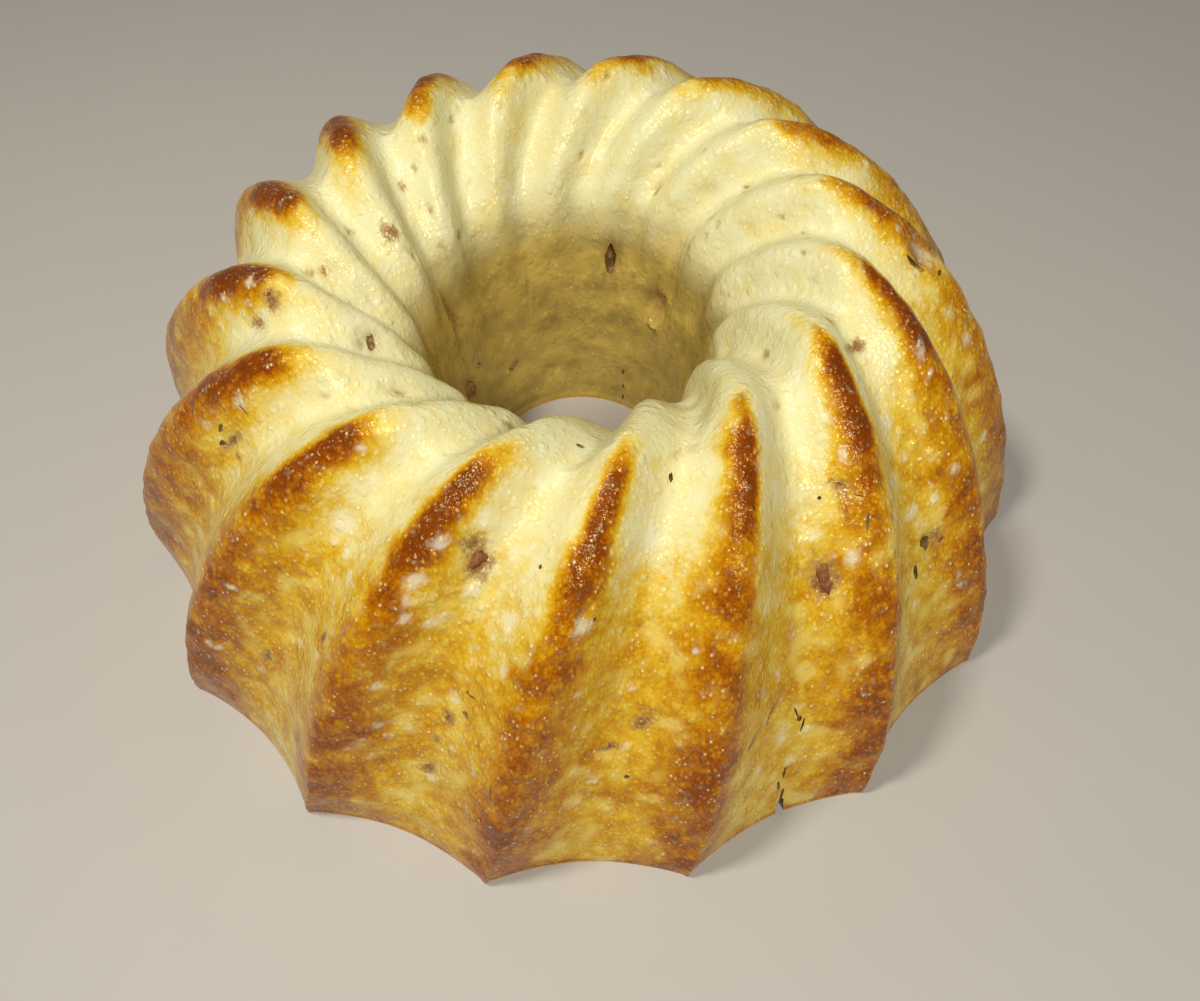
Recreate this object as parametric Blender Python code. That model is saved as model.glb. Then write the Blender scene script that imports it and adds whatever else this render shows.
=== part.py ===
"""A walnut ring cake baked in a mould with twisted flutes, as one closed solid.

Metres, +Z up. The cake stands on its flat base, with the origin at the middle of that base.
"""

import math

import bmesh
import bpy
import numpy as np
from mathutils import Matrix, Vector, noise

# Driving dimensions of the crest line, which runs up a flute's outer edge and over into the hole
TIP_RADIUS = 0.1075  # axis to the pointed end of a flute at the base
HEIGHT = 0.082
CROWN_RADIUS = 0.0555  # axis to the highest point of the crest line
NECK_RADIUS = 0.0325  # where the crown's inner turn becomes the wall of the hole
HOLE_RADIUS = 0.0245  # at the base
SIDE_POWER = 1.65  # exponent of the superellipse of the outer side, 2 being an ellipse
TURN_DROP = 0.0245  # from the crown down to the neck
TURN_POWER = 1.5  # exponent of the superellipse of the inner turn

# The flutes
FLUTES = 16
FIRST_CREST = math.radians(-100.3)  # direction of flute 0 at the base
SPIRAL = math.radians(32)  # turn of a crest for each e-fold of its radius, seen from above
LEAN = math.radians(1.3)  # further turn that a crest makes low on the side
LEAN_HEIGHT = 0.2 * HEIGHT
# How the flutes change along the crest line: place as a fraction of its length, depth of the
# valleys below the crests, and power of the wave between them (under 1 has a sharp crest)
FLUTE_CHANGE = (
    (0.00, 0.0059, 0.8),
    (0.12, 0.0085, 1.2),
    (0.24, 0.0093, 1.5),
    (0.34, 0.0082, 1.8),
    (0.44, 0.0071, 2.0),
    (0.54, 0.0062, 2.2),
    (0.63, 0.0046, 2.2),
    (0.70, 0.0024, 2.0),
    (0.80, 0.0000, 2.0),
)

# Unevenness of the baked crust
SWELL = 0.0007
SWELL_SIZE = 0.035
SEED_OFFSET = Vector((3.1, 7.7, 1.9))

# Pockets in the crust: flute phase, place along the crest line, then half width across the
# flutes, half length along them and depth
POCKETS = (
    (15.33, 0.425, 0.0032, 0.0034, 0.0012),
    (1.67, 0.330, 0.0028, 0.0046, 0.0016),
    (3.90, 0.412, 0.0034, 0.0056, 0.0024),
    (2.71, 0.235, 0.0024, 0.0034, 0.0028),
    (12.31, 0.492, 0.0042, 0.0036, 0.0014),
    (12.25, 0.615, 0.0016, 0.0024, 0.0018),
    (13.35, 0.382, 0.0018, 0.0052, 0.0014),
    (5.74, 0.768, 0.0026, 0.0060, 0.0032),
    (4.60, 0.812, 0.0050, 0.0052, 0.0016),
    (9.45, 0.768, 0.0018, 0.0066, 0.0016),
    (11.29, 0.585, 0.0034, 0.0030, 0.0010),
    (0.66, 0.247, 0.0030, 0.0030, 0.0012),
    (15.71, 0.245, 0.0018, 0.0022, 0.0014),
    (15.58, 0.155, 0.0032, 0.0034, 0.0010),
    (9.62, 0.880, 0.0030, 0.0032, 0.0022),
)
# Lumps of walnut that show in some of them: phase, place, half width, half length, and how far
# the lump stands above the crust
NUTS = (
    (15.33, 0.424, 0.0022, 0.0023, -0.0003),
    (1.68, 0.326, 0.0019, 0.0034, -0.0004),
    (3.87, 0.400, 0.0016, 0.0024, -0.0006),
    (2.74, 0.232, 0.0013, 0.0018, -0.0010),
    (12.29, 0.496, 0.0026, 0.0022, -0.0003),
    (10.21, 0.625, 0.0022, 0.0019, 0.0003),
    (15.57, 0.152, 0.0019, 0.0022, -0.0002),
)
# A crack that opens into a notch at the base edge
NOTCH_PHASE = 1.57
NOTCH = (0.0011, 0.0070, 0.0030)  # half width, half length and depth

RAGGED = 0.16  # unevenness of pockets and lumps, as a share of their size
RAGGED_WAVES = 1.3  # waves of that unevenness in a lump's half size
SHAPE_SHIFT = 1000  # makes each lump's unevenness its own, from its place in metres

# Fineness of the mesh
POINTS_PER_FLUTE = 12
SIDE_RINGS = 20
WALL_RINGS = 3
CURVE_POINTS = 400  # for each of the crest line's three stretches
LUMP_SUBDIVISIONS = 2
FRAME_STEP = 0.005  # along the crest line, for measuring directions on the surface

CRUST_COLOUR = (0.58, 0.32, 0.07, 1)
CRUST_ROUGHNESS = 0.45


def clear_scene():
    for obj in list(bpy.data.objects):
        bpy.data.objects.remove(obj)


def smooth_step(x):
    x = np.clip(x, 0, 1)
    return x * x * (3 - 2 * x)


def crest_line():
    """Radius and height of the crest line at many points, from the base edge to the foot of the hole."""
    quarter = np.linspace(0, math.pi / 2, CURVE_POINTS)
    rising, falling = np.sin(quarter), np.sin(quarter[::-1])
    side = np.stack([
        CROWN_RADIUS + (TIP_RADIUS - CROWN_RADIUS) * falling ** (2 / SIDE_POWER),
        HEIGHT * rising ** (2 / SIDE_POWER),
    ], axis=1)
    turn = np.stack([
        CROWN_RADIUS - (CROWN_RADIUS - NECK_RADIUS) * rising ** (2 / TURN_POWER),
        HEIGHT - TURN_DROP + TURN_DROP * falling ** (2 / TURN_POWER),
    ], axis=1)
    down = np.linspace(0, 1, CURVE_POINTS)[:, None]
    neck = np.array([NECK_RADIUS, HEIGHT - TURN_DROP])
    foot = np.array([HOLE_RADIUS, 0.0])
    wall = neck + (foot - neck) * down
    return np.concatenate([side, turn[1:], wall[1:]])


class Section:
    """The crest line by its length, with what varies along it."""

    def __init__(self):
        points = crest_line()
        steps = np.linalg.norm(np.diff(points, axis=0), axis=1)
        length = np.concatenate([[0], np.cumsum(steps)])
        self.along = length / length[-1]
        self.radius, self.height = points.T
        slope = np.gradient(points, self.along, axis=0)
        slope /= np.linalg.norm(slope, axis=1)[:, None]
        # Turning the upward tangent a quarter to the left points it into the cake
        self.inward = np.stack([-slope[:, 1], slope[:, 0]], axis=1)
        self.inward[0] = (-1, 0)  # level, so that the base edge stays flat
        self.neck = self.along[2 * CURVE_POINTS - 2]

    def at(self, along):
        """Radius, height, inward direction and turn of the crest at a place along the line."""
        def read(values):
            return np.interp(along, self.along, values)

        radius, height = read(self.radius), read(self.height)
        inward = read(self.inward[:, 0]), read(self.inward[:, 1])
        lean = LEAN * smooth_step(height / LEAN_HEIGHT) if along < self.neck else LEAN
        return radius, height, inward, SPIRAL * math.log(TIP_RADIUS / radius) + lean


def flute_sink(phase, along):
    """How far the surface lies below the crest line. A flute is one unit of phase."""
    places, depths, powers = zip(*FLUTE_CHANGE)
    depth = np.interp(along, places, depths)
    power = np.interp(along, places, powers)
    return depth * abs(math.sin(math.pi * phase)) ** power


def swell(point):
    """A gentle unevenness that leaves the base flat."""
    fade = smooth_step(point.z / SWELL_SIZE)
    return SWELL * fade * noise.noise(point / SWELL_SIZE + SEED_OFFSET)


def surface_point(section, phase, along):
    """Point of the cake's surface, phase counting flutes anticlockwise from flute 0."""
    radius, height, inward, turn = section.at(along)
    sink = flute_sink(phase, along)
    angle = FIRST_CREST + phase * math.tau / FLUTES + turn
    radius += sink * inward[0]
    height += sink * inward[1]
    point = Vector((radius * math.cos(angle), radius * math.sin(angle), height))
    out = Vector((-inward[0] * math.cos(angle), -inward[0] * math.sin(angle), -inward[1]))
    return point + out * swell(point)


def ring_places(section):
    """Places of the mesh's rings along the crest line, closer on the side than in the hole."""
    side = np.linspace(0, section.neck, SIDE_RINGS)
    wall = np.linspace(section.neck, 1, WALL_RINGS + 1)
    return np.concatenate([side, wall[1:]])


def crust_material():
    material = bpy.data.materials.new("crust")
    material.use_nodes = True
    shader = material.node_tree.nodes["Principled BSDF"]
    shader.inputs["Base Color"].default_value = CRUST_COLOUR
    shader.inputs["Roughness"].default_value = CRUST_ROUGHNESS
    shader.inputs["Metallic"].default_value = 0
    return material


def fluted_ring(section):
    """Mesh of the cake: rings of points joined by quads, closed by a flat base."""
    count = FLUTES * POINTS_PER_FLUTE
    phases = np.arange(count) / POINTS_PER_FLUTE
    shape = bmesh.new()
    rings = []
    for along in ring_places(section):
        rings.append([shape.verts.new(surface_point(section, phase, along)) for phase in phases])
    for lower, upper in zip(rings, rings[1:] + rings[:1]):
        for i in range(count):
            j = (i + 1) % count
            shape.faces.new((lower[i], lower[j], upper[j], upper[i]))
    bmesh.ops.recalc_face_normals(shape, faces=shape.faces)
    bmesh.ops.triangulate(shape, faces=shape.faces)
    return shape


def surface_frame(section, phase, along):
    """Matrix with its origin on the surface: X across the flutes, Y along them, Z out of the cake."""
    point = surface_point(section, phase, along)
    beside = surface_point(section, phase + FRAME_STEP * FLUTES, along)
    ahead = surface_point(section, phase, along + FRAME_STEP)
    across = beside - point
    upward = ahead - point
    out = across.cross(upward).normalized()
    across = upward.cross(out).normalized()
    frame = Matrix((across, out.cross(across), out)).transposed().to_4x4()
    frame.translation = point
    return frame


def add_lump(name, frame, half_sizes, middle, collection):
    """An uneven ball of three half sizes, with its middle at a height along the frame's Z axis."""
    shape = bmesh.new()
    bmesh.ops.create_icosphere(shape, subdivisions=LUMP_SUBDIVISIONS, radius=1)
    for vert in shape.verts:
        vert.co *= 1 + RAGGED * noise.noise(vert.co * RAGGED_WAVES + frame.translation * SHAPE_SHIFT)
    place = frame @ Matrix.Translation((0, 0, middle)) @ Matrix.Diagonal((*half_sizes, 1))
    bmesh.ops.transform(shape, matrix=place, verts=shape.verts)
    mesh = bpy.data.meshes.new(name)
    shape.to_mesh(mesh)
    shape.free()
    collection.objects.link(bpy.data.objects.new(name, mesh))


def helper_collection(name):
    collection = bpy.data.collections.new(name)
    bpy.context.scene.collection.children.link(collection)
    return collection


def combine(cake, collection, operation):
    """Applies one Boolean between the cake and all objects of a collection, and removes those."""
    boolean = cake.modifiers.new(collection.name, "BOOLEAN")
    boolean.operation = operation
    boolean.operand_type = "COLLECTION"
    boolean.collection = collection
    bpy.context.view_layer.objects.active = cake
    bpy.ops.object.modifier_apply(modifier=boolean.name)
    for obj in list(collection.objects):
        bpy.data.objects.remove(obj)
    bpy.data.collections.remove(collection)


def cut_pockets(cake, section):
    pockets = helper_collection("pockets")
    for phase, along, half_width, half_length, depth in POCKETS:
        frame = surface_frame(section, phase, along)
        add_lump("pocket", frame, (half_width, half_length, depth), 0, pockets)
    add_lump("notch", surface_frame(section, NOTCH_PHASE, 0), NOTCH, 0, pockets)
    combine(cake, pockets, "DIFFERENCE")


def add_nuts(cake, section):
    nuts = helper_collection("nuts")
    for phase, along, half_width, half_length, stand in NUTS:
        frame = surface_frame(section, phase, along)
        add_lump("nut", frame, (half_width, half_length, half_width), stand - half_width, nuts)
    combine(cake, nuts, "UNION")


def add_cake(section):
    shape = fluted_ring(section)
    mesh = bpy.data.meshes.new("walnut_cake")
    shape.to_mesh(mesh)
    shape.free()
    mesh.materials.append(crust_material())
    mesh.shade_smooth()
    cake = bpy.data.objects.new("walnut_cake", mesh)
    bpy.context.collection.objects.link(cake)
    return cake


def main():
    clear_scene()
    section = Section()
    cake = add_cake(section)
    cut_pockets(cake, section)
    add_nuts(cake, section)


if __name__ == "__main__":
    main()
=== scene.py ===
import math
import random

import bpy
import numpy as np
from bpy.props import FloatProperty, FloatVectorProperty, PointerProperty
from bpy.types import Operator, Panel, PropertyGroup
from mathutils import Matrix, Vector, noise


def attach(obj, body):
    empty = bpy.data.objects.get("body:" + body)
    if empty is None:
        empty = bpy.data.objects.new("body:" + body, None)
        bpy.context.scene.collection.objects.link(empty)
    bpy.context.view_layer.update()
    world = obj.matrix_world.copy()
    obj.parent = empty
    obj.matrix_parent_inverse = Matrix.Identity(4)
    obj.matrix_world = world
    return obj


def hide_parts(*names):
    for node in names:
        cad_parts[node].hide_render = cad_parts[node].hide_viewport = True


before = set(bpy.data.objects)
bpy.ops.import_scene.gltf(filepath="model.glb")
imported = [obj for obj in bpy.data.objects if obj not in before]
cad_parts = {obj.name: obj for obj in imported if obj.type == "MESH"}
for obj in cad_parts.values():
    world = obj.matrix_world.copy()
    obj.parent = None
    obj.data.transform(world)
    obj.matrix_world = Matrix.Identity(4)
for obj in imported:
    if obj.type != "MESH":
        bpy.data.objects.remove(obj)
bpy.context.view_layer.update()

bl_info = {
    "name": "Walnut Ring Cake",
    "version": (1, 0, 0),
    "blender": (4, 5, 0),
    "location": "3D View > Sidebar > Ring Cake",
    "description": "Builds a baked ring cake with twisted flutes and walnut pieces",
    "category": "Object",
}

# The crest line, which runs up a flute's outer edge and over into the hole
TIP_RADIUS = 0.1075
HEIGHT = 0.082
CROWN_RADIUS = 0.0555
NECK_RADIUS = 0.0325
HOLE_RADIUS = 0.0245
SIDE_POWER = 1.65
TURN_DROP = 0.0245
TURN_POWER = 1.5
CURVE_POINTS = 400
SLOPE_REACH = 0.006  # the line's direction is taken over this length both ways
SEARCH_PART = 4000  # points whose place along the line is looked up at a time

# The flutes
FLUTES = 16
FIRST_CREST = math.radians(-100.3)
SPIRAL = math.radians(32)
LEAN = math.radians(1.3)
LEAN_HEIGHT = 0.2 * HEIGHT
# Place along the crest line, depth of the valleys, power of the wave between them
FLUTE_CHANGE = (
    (0.00, 0.0059, 0.8),
    (0.12, 0.0085, 1.2),
    (0.24, 0.0093, 1.5),
    (0.34, 0.0082, 1.8),
    (0.44, 0.0071, 2.0),
    (0.54, 0.0062, 2.2),
    (0.63, 0.0046, 2.2),
    (0.70, 0.0024, 2.0),
    (0.80, 0.0000, 2.0),
)
# Broad swell that makes the flutes unlike each other: height, size of its waves, and their shift
SWELL = 0.0007
SWELL_SIZE = 0.035
SWELL_SHIFT = (3.1, 7.7, 1.9)

# Fineness of the crust's mesh
POINTS_AROUND = 640
CRUST_RINGS = 132
BASE_RINGS = 5
SIDE_SHARE = 0.82  # share of the rings that lie outside the hole's wall
MERGE_GAP = 1e-6
SHARP_ANGLE = math.radians(50)

# Places on the crust are given as flute phase and place along the crest line, and sizes there in
# millimetres: half width across the flutes and half length along them, then a turn in degrees.
# Soft hollows, with their depth last, which also sets how much painted shade darkens them
DENTS = (
    (15.36, 0.420, 3.2, 4.4, 0, 0.7),
    (1.67, 0.325, 3.0, 5.2, 0, 0.8),
    (3.92, 0.412, 3.4, 5.6, 0, 1.3),
    (2.72, 0.232, 2.8, 3.6, 0, 1.0),
    (12.25, 0.515, 3.6, 3.0, 0, 0.6),
    (12.38, 0.475, 2.4, 3.2, 0, 0.6),
    (12.22, 0.617, 2.8, 3.0, 0, 1.2),
    (13.35, 0.382, 1.8, 4.6, 0, 0.7),
    (5.72, 0.772, 2.6, 6.4, 8, 2.0),
    (4.60, 0.806, 4.2, 4.6, 0, 2.5),
    (9.38, 0.770, 1.7, 6.6, 10, 1.5),
    (11.27, 0.587, 2.6, 3.2, 25, 1.1),
    (11.21, 0.625, 1.4, 2.6, 0, 0.6),
    (11.25, 0.642, 1.2, 2.2, 0, 0.5),
    (0.62, 0.235, 2.0, 4.0, -50, 0.5),
    (15.67, 0.240, 1.6, 2.0, 0, 0.7),
    (15.56, 0.150, 3.0, 3.4, 0, 0.6),
    (9.52, 0.888, 3.2, 3.6, 0, 1.8),
    (13.29, 0.595, 1.2, 3.0, 0, 0.6),
    (5.38, 0.660, 1.2, 2.4, 0, 0.6),
    (4.67, 0.630, 1.8, 1.8, 0, 0.6),
    (6.38, 0.620, 1.0, 3.4, -10, 0.6),
    (2.33, 0.525, 1.6, 1.4, 0, 0.5),
    (15.25, 0.200, 1.8, 1.8, 0, 0.5),
    (0.10, 0.378, 1.4, 1.8, 0, 0.5),
)
# Bumps, with their height last
BUMPS = (
    (4.54, 0.832, 3.2, 2.4, 0, 1.7),
    (5.58, 0.792, 1.6, 2.0, 0, 0.6),
    (0.14, 0.366, 1.8, 2.0, 0, 0.4),
    (15.42, 0.388, 1.8, 2.2, 0, 0.35),
)
# Stains where walnut lies in or just under the crust
STAINS = (
    (15.37, 0.415, 3.2, 4.0, 20),
    (15.27, 0.437, 3.0, 2.2, 0),
    (1.67, 0.322, 3.2, 5.4, 0),
    (1.78, 0.400, 1.8, 3.2, 30),
    (12.22, 0.512, 3.0, 2.2, 10),
    (12.38, 0.475, 1.5, 2.6, 0),
    (3.84, 0.420, 0.8, 3.0, 0),
    (4.02, 0.396, 0.7, 1.6, 0),
    (2.74, 0.232, 2.0, 2.4, 0),
    (13.34, 0.385, 1.0, 4.6, 0),
    (0.62, 0.232, 1.5, 3.6, -45),
    (0.48, 0.202, 1.2, 3.0, -60),
    (15.58, 0.230, 2.0, 2.0, 0),
    (15.54, 0.195, 1.4, 2.0, 0),
    (15.54, 0.142, 1.5, 3.4, -60),
    (2.33, 0.525, 2.2, 1.4, 0),
    (2.54, 0.475, 2.8, 1.6, 0),
    (10.12, 0.628, 2.2, 2.2, 0),
    (11.33, 0.578, 0.8, 1.8, 25),
    (14.79, 0.295, 1.2, 2.8, 0),
    (14.42, 0.180, 2.0, 2.6, 0),
    (1.38, 0.190, 0.9, 3.4, -35),
    (1.25, 0.180, 0.9, 3.0, -35),
    (9.36, 0.775, 1.3, 5.6, 10),
    (5.76, 0.765, 1.3, 4.6, 8),
    (9.52, 0.888, 2.6, 3.0, 0),
    (4.62, 0.800, 2.6, 2.6, 0),
)
# Pale glossy blisters
BLISTERS = (
    (15.42, 0.390, 2.2, 2.6, 0),
    (15.25, 0.460, 2.8, 2.4, 0),
    (15.12, 0.435, 1.8, 2.2, 0),
    (15.12, 0.395, 1.8, 3.0, 0),
    (15.71, 0.365, 2.4, 2.8, 0),
    (0.12, 0.368, 2.2, 2.4, 0),
    (0.21, 0.295, 1.2, 1.2, 0),
    (15.25, 0.203, 1.4, 1.2, 0),
    (14.42, 0.410, 2.8, 3.4, 0),
    (15.17, 0.355, 1.6, 2.0, 0),
    (15.33, 0.355, 1.6, 1.4, 0),
    (15.58, 0.258, 1.4, 2.0, 0),
    (15.58, 0.130, 1.6, 2.4, 0),
    (1.29, 0.435, 2.0, 3.4, 0),
    (0.42, 0.435, 2.4, 3.0, 0),
    (1.21, 0.335, 1.4, 2.6, 0),
    (12.33, 0.492, 2.0, 2.2, 0),
    (13.21, 0.437, 1.8, 1.4, 0),
    (1.80, 0.334, 1.7, 3.2, 0),
    (3.92, 0.410, 2.2, 4.6, 0),
    (11.27, 0.592, 1.6, 2.2, 25),
    (11.22, 0.622, 1.3, 1.8, 0),
    (11.25, 0.640, 1.2, 1.6, 0),
    (2.54, 0.660, 2.0, 1.6, 0),
    (4.75, 0.575, 1.6, 1.8, 0),
    (4.54, 0.832, 3.0, 2.0, 0),
    (5.58, 0.792, 1.5, 1.6, 0),
)
# Torn holes, with their depth last
HOLES = (
    (15.67, 0.244, 0.7, 0.8, 0, 1.2),
    (15.67, 0.270, 1.1, 0.25, 20, 0.7),
    (15.64, 0.272, 0.35, 0.5, 0, 0.7),
    (3.80, 0.418, 0.6, 2.6, 8, 1.6),
    (4.02, 0.395, 0.5, 1.4, -10, 1.2),
    (3.90, 0.385, 0.8, 0.5, 0, 1.0),
    (2.67, 0.236, 1.0, 1.7, 10, 2.6),
    (2.58, 0.210, 0.5, 1.8, 0, 1.4),
    (12.25, 0.617, 1.8, 0.9, 35, 1.5),
    (13.25, 0.392, 0.45, 1.2, 20, 1.0),
    (13.31, 0.374, 0.5, 0.9, -10, 1.0),
    (13.25, 0.432, 1.4, 0.16, 5, 0.4),
    (5.80, 0.765, 1.4, 3.9, 6, 3.2),
    (9.48, 0.892, 2.2, 2.4, 0, 2.4),
    (9.12, 0.870, 0.8, 0.8, 0, 1.3),
    (8.08, 0.912, 1.7, 0.9, 30, 1.4),
    (1.79, 0.402, 0.16, 1.5, 60, 0.4),
    (1.85, 0.388, 0.16, 1.4, 66, 0.4),
    (1.89, 0.360, 0.3, 1.5, -15, 0.7),
    (1.58, 0.160, 0.6, 0.6, 0, 1.2),
    (1.60, 0.150, 0.2, 1.8, -12, 0.9),
    (1.56, 0.170, 0.2, 1.6, 20, 0.8),
    (1.52, 0.082, 0.3, 1.5, -8, 1.2),
    (1.50, 0.062, 0.35, 1.6, 12, 1.2),
    (1.55, 0.040, 0.35, 2.2, 8, 1.4),
    (0.46, 0.490, 0.4, 0.8, 20, 0.9),
    (1.67, 0.400, 0.35, 0.35, 0, 0.7),
    (0.17, 0.372, 0.3, 0.4, 0, 0.6),
    (15.75, 0.420, 0.35, 0.4, 0, 0.6),
    (15.38, 0.580, 0.9, 0.4, 30, 0.8),
    (0.60, 0.160, 0.5, 0.6, 0, 0.8),
    (15.92, 0.176, 0.2, 2.2, 12, 0.5),
    (5.12, 0.940, 0.4, 0.9, 0, 1.0),
    (5.04, 0.965, 0.3, 0.8, 0, 1.0),
    (5.00, 0.985, 0.3, 0.8, 0, 1.0),
)
# Shallow pits of the pale top, with their strength last
PITS = (
    (6.25, 0.710, 1.4, 1.0, 0, 0.8),
    (5.58, 0.860, 1.3, 0.9, 0, 0.8),
    (5.38, 0.660, 1.0, 1.8, 20, 0.9),
    (5.58, 0.630, 0.9, 0.8, 0, 1.0),
    (5.25, 0.735, 1.3, 1.0, 30, 0.8),
    (4.46, 0.600, 1.0, 1.0, 0, 1.0),
    (4.38, 0.605, 1.2, 1.0, 0, 0.8),
    (9.21, 0.645, 0.9, 1.7, 10, 0.9),
    (9.42, 0.605, 0.9, 1.9, 20, 0.9),
    (9.71, 0.680, 0.8, 2.4, 0, 1.0),
    (10.46, 0.595, 0.9, 2.0, 30, 1.0),
    (9.96, 0.665, 0.9, 1.4, 0, 0.8),
    (3.50, 0.575, 0.8, 0.9, 0, 0.9),
    (12.31, 0.605, 1.4, 1.4, 0, 0.8),
    (13.30, 0.595, 1.0, 1.8, 0, 0.8),
    (13.42, 0.372, 1.3, 1.2, 0, 0.9),
    (1.82, 0.396, 1.2, 2.6, 60, 0.5),
    (1.64, 0.345, 1.0, 1.0, 0, 0.5),
)
# A torn notch in the base edge, with its depth last
NOTCH = (1.57, 0.0, 1.0, 6.0, 0, 3.0)
# Pieces of walnut, with how far each stands above the crust last
NUTS = (
    (15.36, 0.418, 3.0, 4.0, 0, -0.25),
    (1.67, 0.322, 2.9, 5.4, 0, -0.15),
    (2.76, 0.228, 1.1, 1.4, 0, -0.35),
    (12.20, 0.513, 2.2, 1.7, 10, -0.25),
    (10.14, 0.628, 1.8, 1.7, 0, -0.1),
)
# Spots scattered at random: how many, between which places along the crest line, between which
# phases of a flute, half widths in millimetres, and the seed
PALE_SPOTS = (560, (0.10, 0.54), (0.10, 0.90), (0.5, 1.8), 11)
TOP_PITS = (110, (0.50, 0.96), (0.00, 1.00), (0.7, 1.7), 12)
SIDE_PITS = (60, (0.03, 0.42), (0.00, 1.00), (0.6, 1.1), 13)
# Holes and walnut pieces start as balls: how often those are subdivided, and the half length in
# millimetres from which a hole takes the finer ball
HOLE_FINENESS, LONG_HOLE_FINENESS, NUT_FINENESS = 3, 4, 5
LONG_HOLE = 1.3
# Their unevenness: strengths, waves in a half width, size and share of the finer waves, and a
# shift by place that makes each of them differ
RAGGED, NUT_RAGGED = 0.45, 0.28
RAGGED_WAVES = 1.3
FINE_WAVES, FINE_SHARE = 0.35, 0.5
SHAPE_SHIFT = 1000
# Uneven edge of the spots: strength, sizes of its waves in millimetres, and the share of a spot's
# full reach that its half sizes are
SPOT_RAGGED = 0.35
SPOT_WAVES, SPOT_FINE_WAVES = 1.6, 0.7
SPOT_EDGE = 0.72
HALO_WIDTH, HALO_LENGTH, HALO_SHADE = 1.9, 1.5, 0.6  # the darker rim painted round a hole, partly darker crust and partly painted shade, against the hole
PIT_DEPTH = 0.0008
BLISTER_HEIGHT = 0.00015
# Noise of the surface: size of its lumps, and a shift that keeps it apart from the rest
LUMPS = (0.007, (0.4, 3.3, 6.1))
SMALL_LUMPS = (0.0032, (9.1, 0.3, 2.6))
WRINKLES = (0.009, (8.2, 5.1, 0.7))
SMALL_WRINKLES = (0.009 / 3, (3.2, 1.8, 6.6))
WRINKLE_STRETCH = 2.2
WRINKLE_DEPTH = 0.0003
WRINKLE_TONE, WRINKLE_CONTRAST = 0.55, 0.9
WALL_START, WALL_BLEND = 0.67, 0.09  # where the hole's wall begins along the crest line
EDGE_CALM = 0.004  # height over the base edge where the unevenness reaches its full depth
FRAME_STEP = 0.005  # step along the crest line for the surface's directions
MM = 0.001

# Browning from the base edge to the foot of the hole: place along the crest line, tone of the
# faces, and further tone on a crest
BROWNING = (
    (0.000, 0.52, 0.30),
    (0.080, 0.49, 0.36),
    (0.200, 0.52, 0.32),
    (0.300, 0.51, 0.24),
    (0.350, 0.46, 0.27),
    (0.400, 0.35, 0.54),
    (0.435, 0.20, 0.90),
    (0.490, 0.13, 0.98),
    (0.515, 0.11, 0.55),
    (0.540, 0.10, 0.12),
    (0.560, 0.09, 0.03),
    (0.620, 0.08, 0.00),
    (1.000, 0.10, 0.00),
)
TONE_REACH = 1.25  # the deepest tone that the crust's colours tell apart
SCORCHED_SHADE = 0.65  # its colour, against that of the dark streaks
BASE_GAP, BASE_TONE = 0.0001, 0.6  # what lies lower is the flat base, and its tone
RIM_HEIGHT, RIM_TONE = 0.0022, 0.25  # the darker edge along the base
# How far the crust faces the front, and the share of the faces' browning that it then has: front
# faces are browner, partly from baking and partly as painted shade
FRONT_X, FRONT_Y = -0.05, -0.9
FRONT_BAKE_AND_SHADE = ((-1, -0.5, 0, 1), (1.0, 0.76, 0.8, 1.15))
# For each flute: reach of a crest's browning clockwise and anticlockwise of it, in flutes, its
# strength on the shoulder, and how much further along the crest line it ends
CREST_BANDS = (
    (0.10, 0.16, 1.00, 0.000),
    (0.18, 0.09, 1.05, 0.000),
    (0.18, 0.07, 1.05, 0.000),
    (0.17, 0.07, 1.05, 0.000),
    (0.19, 0.10, 0.85, 0.005),
    (0.22, 0.17, 0.75, 0.010),
    (0.20, 0.20, 0.75, 0.015),
    (0.20, 0.20, 0.80, 0.020),
    (0.20, 0.20, 0.85, 0.025),
    (0.20, 0.21, 0.90, 0.025),
    (0.20, 0.22, 1.00, 0.030),
    (0.20, 0.24, 1.05, 0.025),
    (0.20, 0.24, 1.10, 0.010),
    (0.16, 0.23, 1.05, 0.000),
    (0.13, 0.20, 1.00, 0.000),
    (0.12, 0.19, 1.00, 0.000),
)
# Places along the crest line and how much wider a crest's band is there, the shoulder's beginning,
# and how sharp a band's edges are
BAND_WIDTHS = ((0.30, 0.44), (1.35, 1.0))
SHOULDER = 0.38
BAND_SHARPNESS = 2.4
# Waves of the browning's edges, and how far they move it along the crest line and widen a band
EDGE_WAVES = (0.011, (5.3, 2.2, 8.8))
FINE_EDGE_WAVES = (0.005, (1.3, 4.2, 0.8))
EDGE_SHIFT, BAND_SHIFT = 0.010, 0.25
# Blotches: strength, its growth with the tone, size and shift
BLOTCHES = (
    (0.150, 0.05, 0.0060, (7.3, 0.6, 3.7)),
    (0.096, 0.06, 0.0028, (4.3, 8.6, 1.7)),
    (0.080, 0.00, 0.0160, (0.3, 9.6, 2.7)),
)
# Paler clouds: size and shift, contrast, and the tones where they begin and end, each with the
# range of tones that it takes
CLOUDS = (0.0045, (2.9, 6.6, 4.2))
CLOUD_CONTRAST = 1.6
CLOUD_BEGIN, CLOUD_END = (0.10, 0.20), (0.60, 0.25)

# Noise and cells of the materials, in waves or cells per metre
MOTTLE, SPECKS, PIMPLES, BUBBLES = 520, 1900, 900, 430
CRUMB_MOTTLE, CRUMB_GRAIN, CRUMB_DEPTH = 420, 900, 0.0004
WALNUT_FOLDS, FOLD_DEPTH = 600, 0.0006
FLOOR_SPECKLE = 40
# Lighter or darker shades, against the colours below
DEEP_WALL, DEEP_CRUMB, LIGHT_WALNUT, FLOOR_SHADE = 0.6, 0.4, 1.8, 0.97

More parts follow.
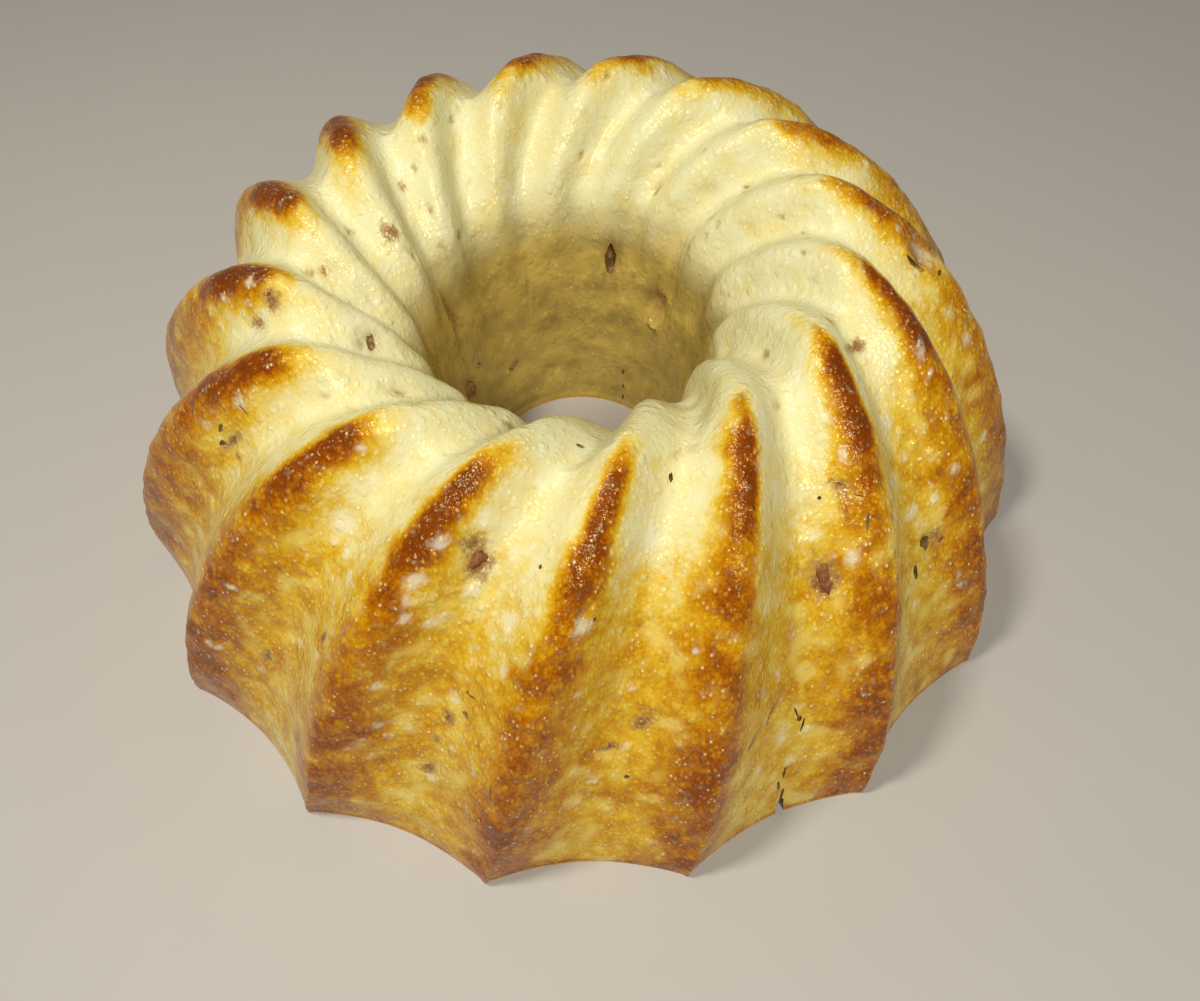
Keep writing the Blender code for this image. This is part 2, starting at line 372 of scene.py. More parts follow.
# The camera: distance and the point that it looks at in tip radii, angles in radians, and lens and
# sensor in millimetres
CAMERA_DISTANCE = 2.3692
CAMERA_ELEVATION = math.radians(56.0108)
CAMERA_YAW = 0.0299
CAMERA_ROLL = -0.049
CAMERA_AIM = (0.0523, -0.1004)
CAMERA_LENS, CAMERA_SENSOR = 29.30, 36
# Lamps: place, size, power against the key light, and colour
LAMPS = {
    "key": ((-0.22, -0.06, 0.62), 0.10, 1.0, (1.0, 0.97, 0.90)),
    "fill": ((0.10, -0.50, 0.60), 0.14, 1.46, (1.0, 0.98, 0.94)),
}
SKY_COLOUR, SKY_STRENGTH = (1.0, 0.98, 0.94), 0.14


def smooth_step(x):
    """0 up to 0 and 1 from 1 on, with a smooth rise between them."""
    x = np.clip(x, 0, 1)
    return x * x * (3 - 2 * x)


def on_wall(along):
    """0 outside the central hole and 1 on its wall, by place along the crest line."""
    return smooth_step((along - WALL_START) / WALL_BLEND)


def crest_line():
    """Radius and height at many points of the crest line, from base edge to foot of the hole."""
    quarter = np.linspace(0, math.pi / 2, CURVE_POINTS)
    rising, falling = np.sin(quarter), np.sin(quarter[::-1])
    side = np.stack([
        CROWN_RADIUS + (TIP_RADIUS - CROWN_RADIUS) * falling ** (2 / SIDE_POWER),
        HEIGHT * rising ** (2 / SIDE_POWER),
    ], axis=1)
    turn = np.stack([
        CROWN_RADIUS - (CROWN_RADIUS - NECK_RADIUS) * rising ** (2 / TURN_POWER),
        HEIGHT - TURN_DROP + TURN_DROP * falling ** (2 / TURN_POWER),
    ], axis=1)
    down = np.linspace(0, 1, CURVE_POINTS)[:, None]
    neck = np.array([NECK_RADIUS, HEIGHT - TURN_DROP])
    foot = np.array([HOLE_RADIUS, 0.0])
    wall = neck + (foot - neck) * down
    return np.concatenate([side, turn[1:], wall[1:]])


class Crust:
    """The baked surface, by flute phase and by place along the crest line."""

    def __init__(self):
        self.line = crest_line()
        steps = np.linalg.norm(np.diff(self.line, axis=0), axis=1)
        length = np.concatenate([[0], np.cumsum(steps)])
        self.length = length[-1]
        self.along = length / length[-1]
        reach = SLOPE_REACH / self.length
        ahead, behind = self.along + reach, self.along - reach
        slope = np.stack([
            np.interp(ahead, self.along, part) - np.interp(behind, self.along, part)
            for part in self.line.T
        ], axis=1)
        slope /= np.linalg.norm(slope, axis=1)[:, None]
        self.inward = np.stack([-slope[:, 1], slope[:, 0]], axis=1)
        # The base edge keeps its place on the ground
        self.inward[0] = (-1, 0)
        # Where the turn into the hole ends: neighbouring parts of the line share a point
        self.neck = self.along[2 * CURVE_POINTS - 2]

    def turn(self, along):
        """Angle by which the crests have turned at a place along the line."""
        radius = np.interp(along, self.along, self.line[:, 0])
        height = np.interp(along, self.along, self.line[:, 1])
        lean = np.where(along < self.neck, smooth_step(height / LEAN_HEIGHT), 1)
        return SPIRAL * np.log(TIP_RADIUS / radius) + LEAN * lean

    def points(self, phase, along):
        """Points of the surface and the directions out of it."""
        radius = np.interp(along, self.along, self.line[:, 0])
        height = np.interp(along, self.along, self.line[:, 1])
        inward_r = np.interp(along, self.along, self.inward[:, 0])
        inward_z = np.interp(along, self.along, self.inward[:, 1])
        places, depths, powers = np.array(FLUTE_CHANGE).T
        wave = np.abs(np.sin(np.pi * phase)) ** np.interp(along, places, powers)
        sink = np.interp(along, places, depths) * wave
        angle = FIRST_CREST + phase * math.tau / FLUTES + self.turn(along)
        radius = radius + sink * inward_r
        height = height + sink * inward_z
        point = np.stack([radius * np.cos(angle), radius * np.sin(angle), height], axis=-1)
        out = np.stack([-inward_r * np.cos(angle), -inward_r * np.sin(angle), -inward_z], axis=-1)
        swell = SWELL * smooth_step(point[..., 2] / SWELL_SIZE)
        return point + out * (swell * waves(point, SWELL_SIZE, SWELL_SHIFT))[..., None], out

    def places(self, points):
        """Phase and place along the line of points on the surface."""
        radius = np.hypot(points[:, 0], points[:, 1])
        flat = np.stack([radius, points[:, 2]], axis=1)
        nearest = np.empty(len(points), int)
        for first in range(0, len(points), SEARCH_PART):
            part = flat[first:first + SEARCH_PART]
            gap = ((part[:, None] - self.line[None]) ** 2).sum(axis=2)
            nearest[first:first + SEARCH_PART] = gap.argmin(axis=1)
        along = self.along[nearest]
        angle = np.arctan2(points[:, 1], points[:, 0])
        phase = (angle - FIRST_CREST - self.turn(along)) * FLUTES / math.tau
        return phase % FLUTES, along

    def frame(self, phase, along, turned=0.0):
        """Matrix on the surface: X across the flutes, Y along them, Z out of the cake."""
        phases = np.array([phase, phase + FRAME_STEP * FLUTES, phase])
        alongs = np.array([along, along, along + FRAME_STEP])
        point, beside, ahead = (Vector(p) for p in self.points(phases, alongs)[0])
        upward = ahead - point
        out = (beside - point).cross(upward).normalized()
        across = upward.cross(out).normalized()
        matrix = Matrix((across, out.cross(across), out)).transposed().to_4x4()
        matrix.translation = point
        return matrix @ Matrix.Rotation(turned, 4, "Z")


def waves(points, size, shift):
    """Smooth noise from -1 to 1 at points, with lumps of a given size."""
    flat = np.reshape(points, (-1, 3)) / size + np.array(shift)
    return np.reshape([noise.noise(Vector(p)) for p in flat.tolist()], np.shape(points)[:-1])


def wrinkles(points):
    """Level wrinkles of the hole's wall, from about -0.7 to 0.7."""
    flat = points * (1, 1, WRINKLE_STRETCH)
    return waves(flat, *WRINKLES) + 0.5 * waves(flat, *SMALL_WRINKLES)


def deselect():
    for obj in bpy.context.selected_objects:
        obj.select_set(False)


def vertices(obj):
    """An object's vertices, one in each row."""
    found = np.empty(len(obj.data.vertices) * 3)
    obj.data.vertices.foreach_get("co", found)
    return found.reshape(-1, 3)


def move_vertices(obj, points):
    obj.data.vertices.foreach_set("co", np.asarray(points, float).ravel())
    obj.data.update()


def paint(obj, name, values):
    """Keeps one number for each vertex, for the materials to read."""
    layer = obj.data.attributes.new(name, "FLOAT", "POINT")
    layer.data.foreach_set("value", np.asarray(values, np.float32))


class Wire:
    """A number that varies over a surface. Python expressions on it add Math nodes."""

    def __init__(self, finish, socket):
        self.finish = finish
        self.socket = socket

    def math(self, operation, first, second=0.0, clamp=False):
        settings = {"operation": operation, "use_clamp": clamp}
        return self.finish.node("ShaderNodeMath", settings, {0: first, 1: second})

    def __add__(self, other):
        return self.math("ADD", self, other)

    def __radd__(self, other):
        return self.math("ADD", other, self)

    def __sub__(self, other):
        return self.math("SUBTRACT", self, other)

    def __rsub__(self, other):
        return self.math("SUBTRACT", other, self)

    def __mul__(self, other):
        return self.math("MULTIPLY", self, other)

    def __rmul__(self, other):
        return self.math("MULTIPLY", other, self)

    def clamped(self):
        """Kept between 0 and 1."""
        return self.math("ADD", self, 0.0, clamp=True)

    def rise(self, low, high):
        """0 below one value and 1 above another, with a smooth step between them."""
        settings = {"interpolation_type": "SMOOTHSTEP"}
        values = {"Value": self, "From Min": low, "From Max": high}
        return self.finish.node("ShaderNodeMapRange", settings, values)


class Finish:
    """A material under construction."""

    def __init__(self, name):
        self.material = bpy.data.materials.new(name)
        self.material.use_nodes = True
        self.tree = self.material.node_tree
        self.shader = self.tree.nodes["Principled BSDF"]
        self.place = self.node("ShaderNodeTexCoord", output="Object")

    def feed(self, socket, value):
        """Links a wire to a socket, or sets a plain value on it."""
        if isinstance(value, Wire):
            self.tree.links.new(value.socket, socket)
        else:
            socket.default_value = value

    def node(self, kind, settings=None, values=None, output=0):
        """Adds a node, makes its settings, feeds its sockets, and gives one of its outputs."""
        node = self.tree.nodes.new(kind)
        for name, value in (settings or {}).items():
            if name == "stops":
                ramp = node.color_ramp
                while len(ramp.elements) < len(value):
                    ramp.elements.new(0.5)
                for element, (position, colour) in zip(ramp.elements, value):
                    element.position = position
                    element.color = (*colour, 1)
            else:
                setattr(node, name, value)
        for name, value in (values or {}).items():
            self.feed(node.inputs[name], value)
        return Wire(self, node.outputs[output])

    def noise(self, scale, detail, roughness=0.55, distortion=0.0):
        values = {
            "Vector": self.place, "Scale": scale, "Detail": detail,
            "Roughness": roughness, "Distortion": distortion,
        }
        return self.node("ShaderNodeTexNoise", values=values)

    def stretched(self, scale):
        return self.node("ShaderNodeMapping", values={"Vector": self.place, "Scale": scale})

    def spots(self, scale, share, radius):
        """Domes in a share of the cells, 1 in their middle and as wide as a radius in cells."""
        values = {"Vector": self.place, "Scale": scale}
        distance = self.node("ShaderNodeTexVoronoi", values=values, output="Distance")
        chance = Wire(self, distance.socket.node.outputs["Color"])
        reach = distance * (1 / radius)
        return (1 - reach * reach).clamped() * chance.rise(0.98 - share, 1.02 - share)

    def mix(self, factor, first, second):
        """Mixes two colours, each a wire or three numbers."""
        sides = [side if isinstance(side, Wire) else (*side, 1) for side in (first, second)]
        values = {0: factor, 6: sides[0], 7: sides[1]}
        return self.node("ShaderNodeMix", {"data_type": "RGBA"}, values, 2)

    def painted(self, name):
        settings = {"attribute_type": "GEOMETRY", "attribute_name": name}
        return self.node("ShaderNodeAttribute", settings, output="Fac")

    def bump(self, height, distance):
        return self.node("ShaderNodeBump", values={"Height": height, "Distance": distance})

    def set(self, **values):
        """Feeds the shader's sockets, written with underscores for spaces."""
        for name, value in values.items():
            self.feed(self.shader.inputs[name.replace("_", " ")], value)


def colour_property(name, description, default):
    return FloatVectorProperty(
        name=name, description=description, default=default,
        subtype="COLOR", size=3, min=0, max=1,
    )


class CrustColours(PropertyGroup):
    pale: colour_property("Pale", "Least baked crust, in valleys and on top", (0.74, 0.705, 0.40))
    cream: colour_property("Cream", "Crust that has begun to colour", (0.73, 0.62, 0.25))
    golden: colour_property("Golden", "Crust of the flutes' faces", (0.66, 0.42, 0.026))
    amber: colour_property("Amber", "Crust near the crests", (0.52, 0.235, 0.002))
    brown: colour_property("Brown", "Crust of the crests", (0.37, 0.115, 0.001))
    dark: colour_property("Dark", "Darkest streaks on the shoulders", (0.22, 0.045, 0.001))
    wall: colour_property("Wall", "Crust in the central hole", (0.52, 0.36, 0.07))
    # The crumb colour is also painted into the pits, the hollows and the rims round the holes, there
    # partly as painted shade
    crumb: colour_property("Crumb", "Moist inside, seen in the holes", (0.33, 0.19, 0.050))
    cloud: colour_property("Cloud", "Paler patches on the flutes' faces", (0.76, 0.60, 0.14))
    # Painted highlights: the next two colours are glints painted on the tips of the smallest
    # bubbles, where the crust is brown and where it is pale
    painted_sparkle: colour_property("Sparkle", "Tips of the smallest bubbles", (1.0, 0.82, 0.38))
    painted_glint: colour_property("Glint", "Tips of the bubbles where the crust is pale", (1.0, 0.97, 0.86))
    blister: colour_property("Blister", "Milky skin of the blisters", (0.82, 0.78, 0.55))
    stain: colour_property("Stain", "Crust with walnut close under it", (0.36, 0.20, 0.07))
    walnut: colour_property("Walnut", "Skin of the walnut pieces", (0.16, 0.060, 0.018))


class CrustSizes(PropertyGroup):
    lump_depth: FloatProperty(
        name="Lump depth", description="Height of the larger unevenness of the crust",
        default=0.00045, min=0, max=0.002, unit="LENGTH",
    )
    grain_depth: FloatProperty(
        name="Grain depth", description="Height of the fine bubbles of the crust",
        default=0.00035, min=0, max=0.001, unit="LENGTH",
    )


class StageSizes(PropertyGroup):
    floor_size: FloatProperty(
        name="Floor size", description="Side of the square floor",
        default=6, min=0.5, unit="LENGTH",
    )
    floor_colour: colour_property("Floor", "Colour of the floor", (0.47, 0.44, 0.39))
    key_power: FloatProperty(
        name="Key light", description="Power of the soft light overhead",
        default=2.3, min=0, unit="POWER",
    )


def add_lump(name, matrix, half_sizes, middle, fineness, ragged):
    """An uneven ball of three half sizes, as a tool that cuts a hole or as a piece of walnut."""
    deselect()
    bpy.ops.mesh.primitive_ico_sphere_add(subdivisions=fineness, radius=1, location=(0, 0, 0))
    lump = bpy.context.object
    lump.name = name
    points = vertices(lump)
    shift = np.array(matrix.translation) * SHAPE_SHIFT
    points *= (1 + ragged * waves(points * RAGGED_WAVES, 1, shift))[:, None]
    points *= (1 + FINE_SHARE * ragged * waves(points, FINE_WAVES, shift))[:, None]
    move_vertices(lump, points)
    stretch = Matrix.Diagonal((*half_sizes, 1))
    lump.data.transform(matrix @ Matrix.Translation((0, 0, middle)) @ stretch)
    return lump


def shaded(colour, share):
    """A colour made darker or lighter."""
    return [min(1, c * share) for c in colour]


def crumb_finish(colours):
    """Moist inside of the cake."""
    finish = Finish("crumb")
    mottle = finish.noise(CRUMB_MOTTLE, 4).rise(0.35, 0.65)
    finish.set(
        Base_Color=finish.mix(mottle, shaded(colours.crumb, DEEP_CRUMB), colours.crumb),
        Roughness=0.55,
        Normal=finish.bump(finish.noise(CRUMB_GRAIN, 4), CRUMB_DEPTH),
    )
    return finish.material


def crust_finish(colours, sizes):
    """Baked crust: browning by the painted tone with some painted shade on the sides facing the
    front, glossy bubbles with painted highlights on their tips, pits and hollows darkened partly
    with painted shade, and darker walnut stains.
    """
    finish = Finish("crust")
    # The bubbles are a little taller than they are wide
    finish.place = finish.stretched((1, 1, 0.7))
    tone = finish.painted("tone")
    wall = finish.painted("wall")
    mottle = finish.noise(MOTTLE, 2, 0.6) - 0.5
    speck = finish.noise(SPECKS, 1) - 0.5
    pimples = finish.spots(PIMPLES, 0.7, 0.5)
    bubbles = finish.spots(BUBBLES, 0.55, 0.44)
    # The browner the crust, the more uneven it is, and bubbles brown less than what is round them
    uneven = (mottle * 1.5 + speck * 0.8) * (0.21 + tone * 0.21)
    domes = pimples * (0.01 + tone * 0.13) + bubbles * (0.01 + tone * 0.09)
    browned = tone * 1.05 + uneven - domes
    tones = (
        (0.02, colours.pale), (0.26, colours.cream), (0.46, colours.golden),
        (0.66, colours.amber), (0.84, colours.brown), (1.0, colours.dark),
        (TONE_REACH, shaded(colours.dark, SCORCHED_SHADE)),
    )
    stops = [(at / TONE_REACH, shade) for at, shade in tones]
    share = (browned * (1 / TONE_REACH)).clamped()
    colour = finish.node("ShaderNodeValToRGB", {"stops": stops}, {"Fac": share})
    # The hole's wall, the clouds and the milky blisters
    wrinkles = (finish.painted("wrinkle") + mottle * 0.8).clamped()
    inside = finish.mix(wrinkles, shaded(colours.wall, DEEP_WALL), colours.wall)
    colour = finish.mix(wall * 0.95, colour, inside)
    cloud = (finish.painted("cloud") + mottle * 1.2).rise(0.05, 0.95)
    colour = finish.mix(cloud * 0.6, colour, colours.cloud)
    blister = (finish.painted("blister") + mottle * 1.5).rise(0.10, 0.95)
    milky = (blister + bubbles * (1 - tone).clamped() * 0.12) * (1 - wall)
    colour = finish.mix(milky * 0.6, colour, colours.blister)
    # Walnut under the crust, then painted shade in the hollows, and the pits and the rims round the
    # holes painted darker, partly as the crust's own darker colour and partly as painted shade
    stain = finish.painted("stain")
    ragged = stain + (mottle * 1.1 + speck * 0.8) * stain.rise(0.0, 0.30)
    skin = finish.mix(ragged.rise(0.50, 1.05), colours.stain, colours.walnut)
    colour = finish.mix(ragged.rise(0.05, 0.75) * 0.9, colour, skin)
    pit = finish.painted("pit") * (1 + mottle * 1.5)
    hollow = (finish.painted("hollow") * 0.3 + pit.rise(0.1, 0.9) * 0.85).clamped()
    colour = finish.mix(hollow, colour, colours.crumb)
    # Painted highlights: glints painted on the tips of the bubbles, so that they shine in any light
    painted_sparkle = pimples.rise(0.68, 0.95) * (mottle * 6 + 0.15).clamped()
    painted_highlight = finish.mix((tone * 2.0).clamped(), colours.painted_glint, colours.painted_sparkle)
    colour = finish.mix(painted_sparkle * (0.62 - wall * 0.4), colour, painted_highlight)
    relief = (bubbles * 0.60 + pimples * 0.30 + speck * 0.25) * (0.60 + tone * 0.75)
    relief = relief + mottle * (0.12 + tone * 0.9)
    finish.set(
        Base_Color=colour,
        Roughness=0.23 + mottle * 0.3,
        IOR=1.28,
        Specular_IOR_Level=0.90,
        Specular_Tint=(1, 0.80, 0.40, 1),
        Normal=finish.bump(relief, sizes.grain_depth),
    )
    return finish.material


def walnut_finish(colours):
    """Folded brown skin of the walnut pieces."""
    finish = Finish("walnut")
    folds = finish.noise(WALNUT_FOLDS, 4, 0.6, distortion=0.8)
    light = shaded(colours.walnut, LIGHT_WALNUT)
    finish.set(
        Base_Color=finish.mix(folds.rise(0.4, 0.62), colours.walnut, light),
        Roughness=0.5,
        Specular_IOR_Level=0.2,
        Normal=finish.bump(folds, FOLD_DEPTH),
    )
    return finish.material


def scatter(count, alongs, phases, sizes, seed):
    """Spots at random places, in the form of the tables above."""
    draw = random.Random(seed)
    found = []
    for _ in range(count):
        size = draw.uniform(*sizes)
        phase, along = draw.randrange(FLUTES) + draw.uniform(*phases), draw.uniform(*alongs)
        length = size * draw.uniform(0.8, 1.6)
        found.append((phase, along, size, length, draw.uniform(-90, 90), draw.uniform(0.4, 1)))
    return tuple(found)


SCATTERED_BLISTERS = scatter(*PALE_SPOTS)
ALL_PITS = scatter(*TOP_PITS) + scatter(*SIDE_PITS) + PITS


def strength(crust, points, spots, scale=1.0):
    """Over the surface, 0 outside all spots, and up to 1 or a spot's own last number in them."""
    found = np.zeros(len(points))
    for phase, along, half_width, half_length, turned, *most in spots:
        spot = crust.frame(phase, along, math.radians(turned))
        size = 2 * MM * max(half_width, half_length)
        distance = np.abs(points - np.array(spot.translation)).max(axis=1)
        close = np.flatnonzero(distance < size)
        matrix = np.array(spot.inverted())
        part = (points[close] @ matrix[:3, :3].T + matrix[:3, 3]) / MM
        fine = waves(part, SPOT_FINE_WAVES, (along * 9, phase, 1.4))
        warp = waves(part, SPOT_WAVES, (phase, along * 10, 4.4)) + 0.6 * fine
        reach = np.hypot(part[:, 0] / half_width, part[:, 1] / half_length)
        reach = reach * (1 + SPOT_RAGGED * warp)
        rise = (1 - smooth_step(reach * SPOT_EDGE)) * (most[0] if most else 1) * scale
        found[close] = np.maximum(found[close], rise)
    return found


def browning(points, normals, phase, along):
    """Tone of the crust at points, from 0 for the palest to 1 for the dark streaks and beyond."""
    ragged = waves(points, *EDGE_WAVES)
    shifted = along + EDGE_SHIFT * waves(points, *FINE_EDGE_WAVES) + EDGE_SHIFT * ragged
    place, tone, more = np.array(BROWNING).T
    flute = np.rint(phase).astype(int) % FLUTES
    off = phase - np.rint(phase)
    before, after, power, further = np.array(CREST_BANDS)[flute].T
    reach = np.where(off < 0, before, after) * (1 + BAND_SHIFT * ragged)
    reach = reach * np.interp(along, *BAND_WIDTHS)
    band = np.exp(-np.abs(off / reach) ** BAND_SHARPNESS)
    band = band * np.where(along > SHOULDER, power, 1)
    facing = FRONT_X * normals[:, 0] + FRONT_Y * normals[:, 1]
    # Sides facing the front are painted browner, partly as more baking and partly as painted shade
    browned = np.interp(shifted, place, tone) * np.interp(facing, *FRONT_BAKE_AND_SHADE)
    browned = browned + np.interp(shifted - further, place, more) * band
    outside = along < 0.5
    browned = browned + RIM_TONE * (1 - smooth_step(points[:, 2] / RIM_HEIGHT)) * outside
    for most, growth, size, shift in BLOTCHES:
        browned = browned + (most + growth * browned) * waves(points, size, shift)
    browned[points[:, 2] < BASE_GAP] = BASE_TONE
    return browned


def bake(obj, crust):
    """Paints what the crust's material reads on its vertices: tone, clouds, stains and the rest."""
    points = vertices(obj)
    normals = np.empty(len(points) * 3, np.float32)
    obj.data.vertex_normals.foreach_get("vector", normals)
    phase, along = crust.places(points)
    browned = browning(points, normals.reshape(-1, 3), phase, along)
    begin, end = (smooth_step((browned - start) / over) for start, over in (CLOUD_BEGIN, CLOUD_END))
    paint(obj, "tone", browned)
    clouds = smooth_step(waves(points, *CLOUDS) * CLOUD_CONTRAST)
    paint(obj, "cloud", begin * (1 - end) * clouds)
    paint(obj, "stain", strength(crust, points, STAINS))
    paint(obj, "blister", strength(crust, points, BLISTERS + SCATTERED_BLISTERS))
    # Rims round the holes are painted darker along with the pits, partly as darker crust and partly
    # as painted shade
    halos = [
        (phase, along, half_width * HALO_WIDTH, half_length * HALO_LENGTH, turned)
        for phase, along, half_width, half_length, turned, _ in HOLES
    ]
    pits = strength(crust, points, ALL_PITS)
    paint(obj, "pit", np.maximum(pits, strength(crust, points, halos, HALO_SHADE)))
    # Painted shade in the soft hollows
    paint(obj, "hollow", strength(crust, points, DENTS))
    paint(obj, "wall", on_wall(along) * (points[:, 2] > BASE_GAP))
    paint(obj, "wrinkle", WRINKLE_TONE + WRINKLE_CONTRAST * wrinkles(points))


def cut(obj, tools):
    """Cuts tools out of an object and removes them."""
    drawer = bpy.data.collections.new("tools")
    bpy.context.scene.collection.children.link(drawer)
    for tool in tools:
        for holder in list(tool.users_collection):
            holder.objects.unlink(tool)
        drawer.objects.link(tool)
    boolean = obj.modifiers.new("holes", "BOOLEAN")
    boolean.operation = "DIFFERENCE"
    boolean.operand_type = "COLLECTION"
    boolean.collection = drawer
    boolean.solver = "MANIFOLD"
    boolean.material_mode = "TRANSFER"
    deselect()
    bpy.context.view_layer.objects.active = obj
    obj.select_set(True)
    bpy.ops.object.modifier_apply(modifier=boolean.name)
    for tool in tools:
        bpy.data.objects.remove(tool)
    bpy.data.collections.remove(drawer)


def roll_sheet(name, around, along):
    """A grid to be rolled into a ring both ways, with each vertex's column and row."""
    deselect()
    bpy.ops.mesh.primitive_grid_add(x_subdivisions=around, y_subdivisions=along, size=2)
    sheet = bpy.context.object
    sheet.name = name
    flat = (vertices(sheet) + 1) / 2
    column = np.rint(flat[:, 0] * around).astype(int) % around
    row = np.rint(flat[:, 1] * along).astype(int) % along
    return sheet, column, row


def close_seams(obj):
    """Merges the edges that meet and points all faces outwards."""
    bpy.ops.object.mode_set(mode="EDIT")
    bpy.ops.mesh.select_all(action="SELECT")
    bpy.ops.mesh.remove_doubles(threshold=MERGE_GAP)
    bpy.ops.mesh.normals_make_consistent(inside=False)
    bpy.ops.object.mode_set(mode="OBJECT")


def fluted_ring(crust, lump_depth):
    """The cake before its torn holes: a sheet rolled into a ring and pressed into flutes."""
    cake, column, row = roll_sheet("crust", POINTS_AROUND, CRUST_RINGS + BASE_RINGS)
    side_rings = round(CRUST_RINGS * SIDE_SHARE)
    share = np.linspace(0, 1, BASE_RINGS + 2)[1:-1]
    places = np.concatenate([
        np.linspace(0, crust.neck, side_rings, endpoint=False),
        np.linspace(crust.neck, 1, CRUST_RINGS - side_rings),
        np.ones(BASE_RINGS),
    ])
    phase = column * FLUTES / POINTS_AROUND
    along = places[row]
    points, out = crust.points(phase, along)
    lumps = waves(points, *LUMPS) + 0.5 * waves(points, *SMALL_LUMPS)
    rise = lumps * lump_depth - strength(crust, points, DENTS, MM)
    rise = rise + strength(crust, points, BUMPS, MM)
    rise = rise - strength(crust, points, ALL_PITS, PIT_DEPTH)
    rise = rise + strength(crust, points, SCATTERED_BLISTERS, BLISTER_HEIGHT)
    rise = rise + wrinkles(points) * on_wall(along) * WRINKLE_DEPTH
    rise = rise * smooth_step(points[:, 2] / EDGE_CALM)
    points = points + out * rise[:, None]
    edges = crust.points(phase, np.zeros(len(phase)))[0]
    toward = np.append(np.zeros(CRUST_RINGS), share)[row][:, None]
    move_vertices(cake, points * (1 - toward) + edges * toward)
    close_seams(cake)
    return cake


class CAKE_OT_bake_crust(Operator):
    """Model the fluted crust with its holes, and bake it"""

    bl_idname = "cake.bake_crust"
    bl_label = "Crust"

    def execute(self, context):
        crust = Crust()
        sizes, colours = context.scene.crust_sizes, context.scene.crust_colours
        cake = fluted_ring(crust, sizes.lump_depth)
        crumb = crumb_finish(colours)
        tools = []
        for phase, along, half_width, half_length, turned, depth in HOLES + (NOTCH,):
            matrix = crust.frame(phase, along, math.radians(turned))
            half_sizes = (half_width * MM, half_length * MM, depth * MM)
            fineness = LONG_HOLE_FINENESS if half_length > LONG_HOLE else HOLE_FINENESS
            tool = add_lump("hole", matrix, half_sizes, 0, fineness, RAGGED)
            tool.data.materials.append(crumb)
            tools.append(tool)
        cake.data.materials.append(crust_finish(colours, sizes))
        cut(cake, tools)
        bake(cake, crust)
        bpy.ops.object.shade_smooth_by_angle(angle=SHARP_ANGLE)
        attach(cake, "root")
        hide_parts("walnut_cake")
        return {"FINISHED"}


class CAKE_OT_set_walnuts(Operator):
    """Set the walnut pieces that show into their holes"""

    bl_idname = "cake.set_walnuts"
    bl_label = "Walnut pieces"

    def execute(self, context):
        crust = Crust()
        pieces = []
        for phase, along, half_width, half_length, turned, stand in NUTS:
            half_sizes = (half_width * MM, half_length * MM, half_width * MM)
            matrix = crust.frame(phase, along, math.radians(turned))
            middle = stand * MM - half_sizes[2]
            piece = add_lump("walnut", matrix, half_sizes, middle, NUT_FINENESS, NUT_RAGGED)
            pieces.append(piece)
        deselect()
        for piece in pieces:
            piece.select_set(True)
        context.view_layer.objects.active = pieces[0]
        bpy.ops.object.join()
        walnuts = context.object
        walnuts.name = "walnut_pieces"
        walnuts.data.materials.append(walnut_finish(context.scene.crust_colours))
        bpy.ops.object.shade_smooth()
        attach(walnuts, "root")
        return {"FINISHED"}


def add_camera(scene):
    """A camera that looks down at the front of the cake."""
    level = math.cos(CAMERA_ELEVATION)
    back = Vector((
        math.sin(CAMERA_YAW) * level, -math.cos(CAMERA_YAW) * level, math.sin(CAMERA_ELEVATION),
    ))
    right = (-back).cross(Vector((0, 0, 1))).normalized()
    turn = Matrix.Rotation(CAMERA_ROLL, 3, back)
    right = turn @ right
    camera = bpy.data.objects.new("camera", bpy.data.cameras.new("camera"))
    camera.data.lens = CAMERA_LENS
    camera.data.sensor_width = CAMERA_SENSOR
    matrix = Matrix((right, back.cross(right), back)).transposed().to_4x4()
    matrix.translation = TIP_RADIUS * (back * CAMERA_DISTANCE + Vector((*CAMERA_AIM, 0)))
    camera.matrix_world = matrix
    scene.collection.objects.link(camera)
    scene.camera = camera


def add_lamp(name, place, size, power, colour):
    """A round soft lamp that points at the middle of the cake's base."""
    deselect()
    bpy.ops.object.light_add(type="AREA", location=place)
    lamp = bpy.context.object
    lamp.name = name
    lamp.data.shape = "DISK"
    lamp.data.size = size
    lamp.data.energy = power
    lamp.data.color = colour
    lamp.rotation_euler = Vector(place).to_track_quat("Z", "Y").to_euler()


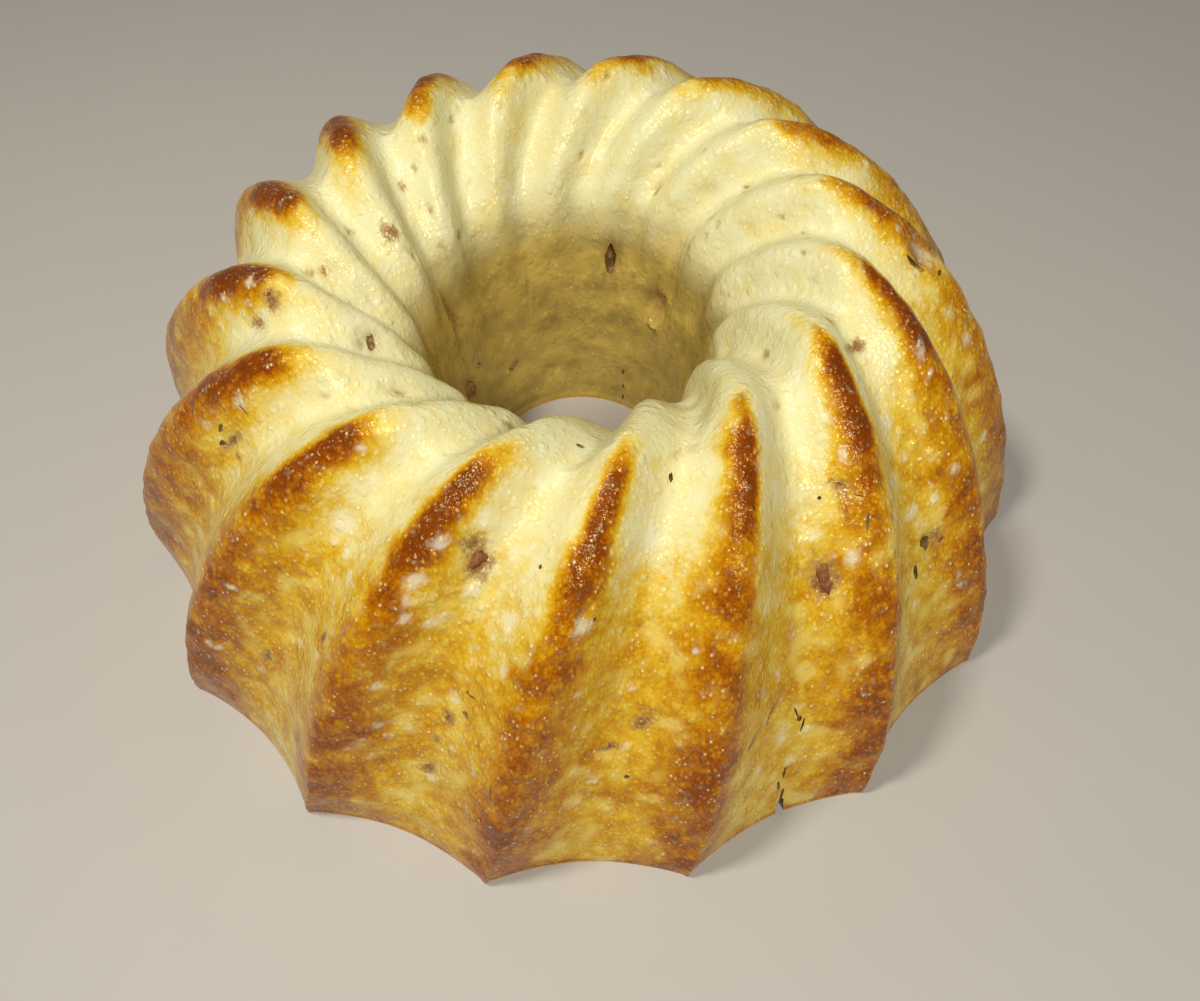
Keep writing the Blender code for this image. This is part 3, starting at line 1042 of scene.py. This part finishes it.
class CAKE_OT_set_stage(Operator):
    """Lay the floor and place the lights and the camera"""

    bl_idname = "cake.set_stage"
    bl_label = "Stage"

    def execute(self, context):
        stage = context.scene.stage_sizes
        deselect()
        bpy.ops.mesh.primitive_plane_add(size=stage.floor_size)
        floor = context.object
        floor.name = "floor"
        finish = Finish("floor")
        speckle = finish.noise(FLOOR_SPECKLE, 2)
        shade = shaded(stage.floor_colour, FLOOR_SHADE)
        finish.set(Base_Color=finish.mix(speckle, shade, stage.floor_colour), Roughness=0.6)
        floor.data.materials.append(finish.material)
        for name, (place, size, share, colour) in LAMPS.items():
            add_lamp(name, place, size, stage.key_power * share, colour)
        world = bpy.data.worlds.new("studio")
        world.use_nodes = True
        sky = world.node_tree.nodes["Background"].inputs
        sky["Color"].default_value = (*SKY_COLOUR, 1)
        sky["Strength"].default_value = SKY_STRENGTH
        context.scene.world = world
        context.scene.view_settings.view_transform = "Standard"
        add_camera(context.scene)
        return {"FINISHED"}


class CAKE_PT_pieces(Panel):
    bl_label = "Ring Cake"
    bl_idname = "CAKE_PT_pieces"
    bl_space_type = "VIEW_3D"
    bl_region_type = "UI"
    bl_category = "Ring Cake"

    def draw(self, context):
        for group in GROUPS:
            settings = getattr(context.scene, group)
            for name in settings.__annotations__:
                self.layout.prop(settings, name)
        for step in STEPS:
            self.layout.operator(step.bl_idname)


STEPS = (CAKE_OT_bake_crust, CAKE_OT_set_walnuts, CAKE_OT_set_stage)
GROUPS = {"crust_sizes": CrustSizes, "crust_colours": CrustColours, "stage_sizes": StageSizes}


def register():
    for group in GROUPS.values():
        bpy.utils.register_class(group)
    for name, group in GROUPS.items():
        setattr(bpy.types.Scene, name, PointerProperty(type=group))
    for item in (*STEPS, CAKE_PT_pieces):
        bpy.utils.register_class(item)


def unregister():
    for item in (CAKE_PT_pieces, *STEPS):
        bpy.utils.unregister_class(item)
    for name, group in GROUPS.items():
        delattr(bpy.types.Scene, name)
        bpy.utils.unregister_class(group)


def main():
    register()
    bpy.ops.cake.bake_crust()
    bpy.ops.cake.set_walnuts()
    bpy.ops.cake.set_stage()


if __name__ == "__main__":
    main()
